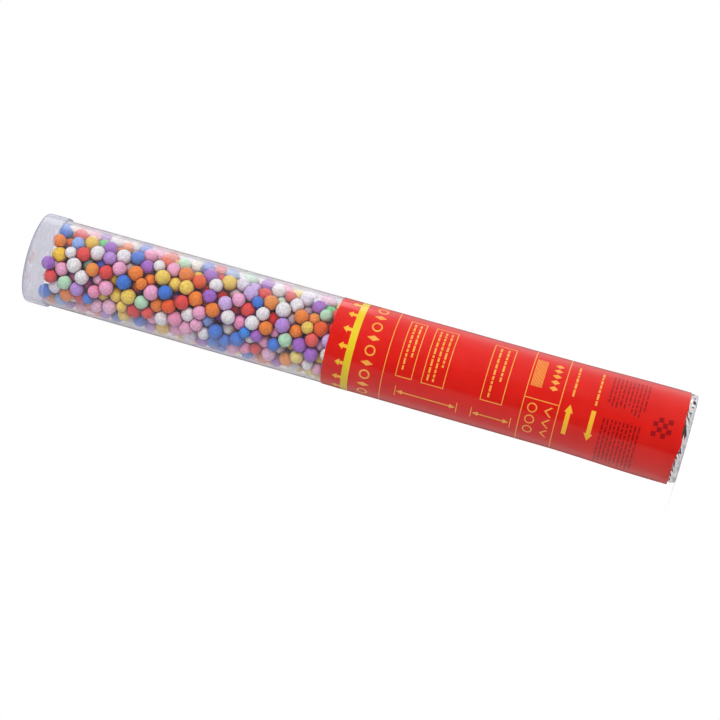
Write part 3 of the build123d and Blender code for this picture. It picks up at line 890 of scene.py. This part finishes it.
def arrow(origin, direction, length, stem, head_length, head_width):
    """A solid arrow from its tail."""
    neck = length - head_length
    parts = []
    for start, end, wide, narrow in ((0, neck, stem, stem), (neck, length, head_width, TIP)):
        left = path([(start, -wide / 2), (end, -narrow / 2)])
        right = path([(start, wide / 2), (end, narrow / 2)])
        parts.append(patch(turned(left, origin, direction), turned(right, origin, direction)))
    return parts


def ring_shape(around, height, outer, inner):
    """A round outline."""
    turns = [math.tau * step / CIRCLE_POINTS for step in range(CIRCLE_POINTS)]
    circles = [[(around + r * math.sin(t), height + r * math.cos(t)) for t in turns] for r in (outer, inner)]
    return patch(*circles, closed=True)


def diamond(around, height, half_width, half_height):
    """A filled diamond."""
    sides = []
    for side in (-1, 1):
        corners = [(side * TIP, -half_height), (side * half_width, 0), (side * TIP, half_height)]
        sides.append(path([(around + a, height + b) for a, b in corners]))
    return patch(*sides)


def chevron(around, height, half_width, rise, line):
    """A broad V that points upwards."""
    low = path([(around - half_width, height), (around, height + rise), (around + half_width, height)])
    return patch(low, [(a, b + line) for a, b in low])


def dashes(left, right, height, thickness, draw, lengths=DASH_LENGTHS, gap=DASH_GAP):
    """A broken stripe of uneven dashes."""
    marks = []
    start = left
    while start < right - lengths[0]:
        end = min(right, start + draw.uniform(*lengths))
        marks.append(bar(start, end, height, height + thickness))
        start = end + gap
    return marks


def wrapped(around):
    """The same place, counted from the front so that it lies on the sheet."""
    return around - FULL_TURN if around > SHEET_RIGHT - MOTIF_RADIUS else around


# Print on both sheets
def boxes(shift, rows, draw):
    """Outlined boxes filled with rows of dashes."""
    marks = []
    for low, high, count in rows:
        marks += outline(BOX_LEFT + shift, BOX_RIGHT + shift, low, high, LINE)
        pitch = (high - low) / (count + 1)
        for row in range(count):
            end = BOX_RIGHT - (BOX_MARGIN if row else BOX_SHORT_ROW)
            height = low + pitch * (row + 1) - DASH / 2
            marks += dashes(BOX_LEFT + shift + BOX_MARGIN, end + shift, height, DASH, draw)
    return marks


def measure(shift, low, high):
    """A double-headed arrow along the tube between two short stop lines."""
    around = MEASURE_AROUND + shift
    middle = (low + high) / 2
    half = (high - low) / 2 - MEASURE_GAP
    marks = []
    for stop in (low, high - LINE):
        marks.append(bar(around - MEASURE_STOP, around + MEASURE_STOP, stop, stop + LINE))
    for direction in (0, 180):
        marks += arrow((around, middle), direction, half, MEASURE_STEM, *MEASURE_HEAD)
    return marks


def upper_arrows():
    """The row of small arrows above the broad ring."""
    marks = []
    for step in range(ARROWS):
        around = wrapped(ARROW_START + FULL_TURN * step / ARROWS)
        marks += arrow((around, RING_HIGH), 0, ARROW_LENGTH, ARROW_STEM, *ARROW_HEAD)
    return join(marks)


def upper_lines(draw):
    """Rings and diamonds in a row, a thin line, and the boxes and double arrows of front and back."""
    marks = [ring_line(UPPER_LINE, UPPER_LINE + LINE)]
    for step in range(MOTIFS):
        around = wrapped(FULL_TURN * step / MOTIFS)
        if step % 2:
            marks.append(diamond(around, MOTIF_HEIGHT, *MOTIF_DIAMOND))
        else:
            marks.append(ring_shape(around, MOTIF_HEIGHT, MOTIF_RADIUS, MOTIF_RADIUS - MOTIF_LINE))
    for shift in FRONT_AND_BACK:
        marks += boxes(shift, UPPER_BOXES, draw)
        marks += measure(shift, *UPPER_MEASURE)
    return join(marks)


def lower_arrows():
    """Two arrows that show the turn, on front and back."""
    marks = []
    for shift in FRONT_AND_BACK:
        for height, tail, direction in TURN_ARROWS:
            marks += arrow((tail + shift, height), direction, TURN_LENGTH, TURN_STEM, *TURN_HEAD)
    return join(marks)


def frame_fill(shift):
    """What the two cells of the frame hold: stripes and diamonds in one, rings and chevrons in the other."""
    marks = []
    for step in range(STRIPES):
        low = STRIPE_LOW + STRIPE_PITCH * step
        marks.append(bar(STRIPE_LEFT + shift, STRIPE_RIGHT + shift, low, low + STRIPE_LINE))
    for step in range(SMALL_DIAMONDS):
        marks.append(diamond(SMALL_LEFT + shift + SMALL_PITCH * step, SMALL_HEIGHT, *SMALL_DIAMOND))
    for step in range(PAIRS):
        around = PAIR_LEFT + shift + PAIR_PITCH * step
        marks.append(ring_shape(around, PAIR_RING_HEIGHT, *PAIR_RING))
        marks.append(chevron(around, PAIR_CHEVRON_HEIGHT, *PAIR_CHEVRON))
    return marks


def lower_lines(draw):
    """The framed band, the box and double arrow, and the dashes beside the turn arrows."""
    marks = [ring_line(FRAME_LOW, FRAME_LOW + LINE), ring_line(FRAME_HIGH - LINE, FRAME_HIGH)]
    for shift in FRONT_AND_BACK:
        marks += boxes(shift, LOWER_BOXES, draw)
        marks += measure(shift, *LOWER_MEASURE)
        marks += frame_fill(shift)
        for quarter in (0, -FULL_TURN / 4):
            divider = FRAME_DIVIDER + shift + quarter
            marks.append(bar(divider, divider + LINE, FRAME_LOW + LINE, FRAME_HIGH - LINE))
        for height, _, _ in TURN_ARROWS:
            marks += dashes(BOX_LEFT + shift, TURN_DASH_END + shift, height - TURN_DASH / 2, TURN_DASH, draw)
    return join(marks)


def chequers(shift):
    """A square block of small filled squares."""
    marks = []
    for row in range(CHECKS):
        for column in range(row % 2, CHECKS, 2):
            left = CHECK_LEFT + CHECK_SIZE * column + shift
            low = CHECK_LOW + CHECK_SIZE * row
            marks.append(bar(left, left + CHECK_SIZE, low, low + CHECK_SIZE))
    return marks


def lower_dark(draw):
    """Fine dark stripes in two blocks, and a small chequered block, on front and back."""
    marks = []
    for shift in FRONT_AND_BACK:
        marks += chequers(shift)
        for left, right in FINE_BLOCKS:
            for row in range(FINE_ROWS):
                height = FINE_LOW + (FINE_HIGH - FINE_LOW) * row / FINE_ROWS
                end = right - draw.uniform(0, FINE_RAGGED)
                marks += dashes(left + shift, end + shift, height, FINE_LINE, draw, FINE_LENGTHS, FINE_GAP)
    return join(marks)


print_draw = np.random.default_rng(SEED + 1)
add_piece("print_ring", ring_line(RING_LOW, RING_HIGH), yellow_ink, "barrel", CRISP_FILM)
add_piece("print_small_arrows", upper_arrows(), arrow_ink, "barrel", CRISP_FILM)
add_piece("print_lines_upper", upper_lines(print_draw), line_ink, "barrel", CRISP_FILM)
add_piece("print_turn_arrows", lower_arrows(), arrow_ink, "base", CRISP_FILM)
add_piece("print_lines_lower", lower_lines(print_draw), line_ink, "base", CRISP_FILM)
add_piece("print_fine_stripes", lower_dark(print_draw), dark_ink, "base", CRISP_FILM)


# Silver fold at the foot
def fold_profile():
    """(radius, height, angle of the surface) from under the film, round the foot's edge and in below it."""
    middle = FILM_RADIUS - FILM_THICKNESS / 2
    centre = FILM_RADIUS - FOLD_ROUND
    points = [(middle, LOWER_BOTTOM + FOLD_UNDER_FILM, 0)]
    for step in range(FOLD_ROWS + 1):
        angle = 90 * step / FOLD_ROWS
        turn = math.radians(angle)
        points.append((centre + FOLD_ROUND * math.cos(turn), FOLD_ROUND - FOLD_ROUND * math.sin(turn), angle))
    points += [((centre + FOLD_END) / 2, 0, 90), (FOLD_END, 0, 90)]
    return points


def fold_lines(draw):
    """Angles of the folds round the foot with a height share each: slow rises to a crest, then short steep
    drops."""
    lines = []
    angle = 0.0
    while angle < 360 - PLEAT_WIDE[1]:
        lines.append((angle, draw.uniform(*PLEAT_VALLEY)))
        angle += draw.uniform(*PLEAT_WIDE)
        lines.append((angle, draw.uniform(*PLEAT_CREST)))
        angle += draw.uniform(*PLEAT_NARROW)
    return lines


def foil_fold():
    """Foil gathered round the edge in sharp uneven pleats, flat under the film and under the foot."""
    draw = np.random.default_rng(SEED + 2)
    profile = fold_profile()
    outside = []
    inside = []
    for angle, crest in fold_lines(draw):
        outer_row = []
        inner_row = []
        for radius, height, facing in profile:
            stands = smooth_step(0, PLEAT_RISEN, facing) * smooth_step(90, PLEAT_FALLING, facing)
            share = max(0.0, crest + draw.uniform(-PLEAT_CRUMPLE, PLEAT_CRUMPLE))
            lift = PLEAT_HEIGHT * stands * min(1.0, share)
            twisted = angle + PLEAT_TWIST * facing / 90
            out = math.cos(math.radians(facing))
            down = math.sin(math.radians(facing))
            outer_row.append(at(radius + lift * out, twisted, max(0.0, height - lift * down)))
            inner_row.append(at(radius - FOIL_THICKNESS * out, twisted, height + FOIL_THICKNESS * down))
        outside.append(outer_row)
        inside.append(inner_row)
    return slab(outside, inside, closed=True)


add_piece("foil_fold", foil_fold(), silver_foil, "base", None, "foil_hem")

# Finishes of the solids that stay
INSIDE_FINISHES = {
    grey_moulding: ["base_plug", "base_collar", "firing_head"],
    white_moulding: ["cam_sleeve", "plunger", "wad_cup"],
    card: ["base_tube", "bottle_collar", "wad_card"],
    felt: ["wad_felt"],
    foam_rubber: ["bottle_seat"],
    black_rubber: ["fill_valve", "neck_gasket", "plunger_rings"],
    bottle_metal: ["air_bottle"],
    pin_metal: ["collar_pins", "head_pins"],
    brass: ["neck_bush"],
    spring_steel: ["retaining_clip", "cross_pin"],
}
for material, names in INSIDE_FINISHES.items():
    for name in names:
        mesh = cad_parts[name].data
        mesh.materials.clear()
        mesh.materials.append(material)


# Stage
def room_tone(tree, direction):
    """Brightness of the room by the way that it lies from the object."""
    axes = put(tree, "ShaderNodeSeparateXYZ", {"Vector": direction}).outputs
    front = calculate(tree, "MULTIPLY", axes["Y"], -1.0)
    left = calculate(tree, "MULTIPLY", axes["X"], -1.0)
    turn = calculate(tree, "ARCTAN2", left, front)
    share = spread(tree, turn, low=0.0, high=1.0, start=-math.pi, end=math.pi)
    return ramp(tree, share, [((angle + 180) / 360, (tone, tone, tone, 1.0)) for angle, tone in ROOM])


def floor():
    """A pale floor that keeps the shadow and looks white. Glossy surfaces see the room in it, except near the
    foot."""
    half = FLOOR_SIZE / 2
    corners = [(-half, -half, 0), (half, -half, 0), (half, half, 0), (-half, half, 0)]
    mesh = bpy.data.meshes.new("floor")
    mesh.from_pydata(corners, [], [[0, 1, 2, 3]])
    plane = bpy.data.objects.new("floor", mesh)
    bpy.context.scene.collection.objects.link(plane)
    material = bpy.data.materials.new("pale_floor")
    material.use_nodes = True
    tree = material.node_tree
    tree.nodes.clear()
    ray = put(tree, "ShaderNodeLightPath").outputs
    seen = calculate(tree, "MAXIMUM", ray["Is Camera Ray"], ray["Is Transmission Ray"])
    matt = put(tree, "ShaderNodeBsdfDiffuse", {"Color": FLOOR_TONE}).outputs["BSDF"]
    dimmed = calculate(tree, "MULTIPLY", ray["Is Glossy Ray"], MIRROR_GLOW)
    shown = calculate(tree, "MAXIMUM", calculate(tree, "MULTIPLY", seen, FLOOR_GLOW), dimmed)
    glow = put(tree, "ShaderNodeEmission", {"Strength": shown}).outputs["Emission"]
    plain = put(tree, "ShaderNodeAddShader", {0: matt, 1: glow}).outputs["Shader"]
    position = put(tree, "ShaderNodeNewGeometry").outputs["Position"]
    mirrored = put(tree, "ShaderNodeEmission", {"Color": room_tone(tree, position)}).outputs["Emission"]
    away = put(tree, "ShaderNodeVectorMath", {0: position}, operation="LENGTH").outputs["Value"]
    unseen = calculate(tree, "SUBTRACT", 1.0, seen)
    glossy = calculate(tree, "MULTIPLY", ray["Is Glossy Ray"], unseen)
    distant = spread(tree, away, low=0.0, high=1.0, start=MIRROR_NEAR, end=MIRROR_FAR)
    glossy = calculate(tree, "MULTIPLY", glossy, distant)
    mixed = put(tree, "ShaderNodeMixShader", {0: glossy, 1: plain, 2: mirrored}).outputs["Shader"]
    fading = spread(tree, away, low=0.0, high=1.0, start=FLOOR_NEAR, end=FLOOR_FAR)
    far = calculate(tree, "MULTIPLY", seen, fading)
    white = put(tree, "ShaderNodeEmission", {"Color": WHITE}).outputs["Emission"]
    faded = put(tree, "ShaderNodeMixShader", {0: far, 1: mixed, 2: white}).outputs["Shader"]
    put(tree, "ShaderNodeOutputMaterial", {"Surface": faded})
    mesh.materials.append(material)


def room():
    """White where it is seen, plain fill light, and a room with a dark front and back for what is glossy."""
    world = bpy.data.worlds.new("studio")
    bpy.context.scene.world = world
    world.use_nodes = True
    tree = world.node_tree
    tree.nodes.clear()
    ray = put(tree, "ShaderNodeLightPath").outputs
    direction = put(tree, "ShaderNodeTexCoord").outputs["Generated"]
    fill = put(tree, "ShaderNodeBackground", {"Color": FILL}).outputs["Background"]
    mirrored = put(tree, "ShaderNodeBackground", {"Color": room_tone(tree, direction)}).outputs["Background"]
    white = put(tree, "ShaderNodeBackground", {"Color": WHITE}).outputs["Background"]
    lit = put(tree, "ShaderNodeMixShader", {0: ray["Is Glossy Ray"], 1: fill, 2: mirrored}).outputs["Shader"]
    seen = calculate(tree, "MAXIMUM", ray["Is Camera Ray"], ray["Is Transmission Ray"])
    mixed = put(tree, "ShaderNodeMixShader", {0: seen, 1: lit, 2: white}).outputs["Shader"]
    put(tree, "ShaderNodeOutputWorld", {"Surface": mixed})


def lamp(name, spot, size, power, mirrored):
    """A soft rectangular lamp that faces the middle of the part. It isn't seen through clear plastic. Glossy
    surfaces show the room, and the lamp only if it's mirrored."""
    light = bpy.data.lights.new(name, "AREA")
    light.shape = "RECTANGLE"
    light.size, light.size_y = size
    light.energy = power
    holder = bpy.data.objects.new(name, light)
    holder.location = spot
    holder.rotation_euler = (Vector(LAMP_TARGET) - Vector(spot)).to_track_quat("-Z", "Y").to_euler()
    holder.visible_glossy = mirrored
    holder.visible_transmission = False
    bpy.context.scene.collection.objects.link(holder)


def camera():
    """The photograph's view."""
    view = bpy.data.cameras.new("camera")
    view.lens = CAMERA_LENS
    view.sensor_width = CAMERA_SENSOR
    holder = bpy.data.objects.new("camera", view)
    holder.location = CAMERA_SPOT
    aim = (Vector(CAMERA_TARGET) - Vector(CAMERA_SPOT)).to_track_quat("-Z", "Y")
    roll = Quaternion((0, 0, 1), math.radians(CAMERA_ROLL))
    holder.rotation_euler = (aim @ roll).to_euler()
    bpy.context.scene.collection.objects.link(holder)
    bpy.context.scene.camera = holder


floor()
room()
for settings in LAMPS:
    lamp(*settings)
camera()
bpy.context.scene.view_settings.view_transform = "Standard"
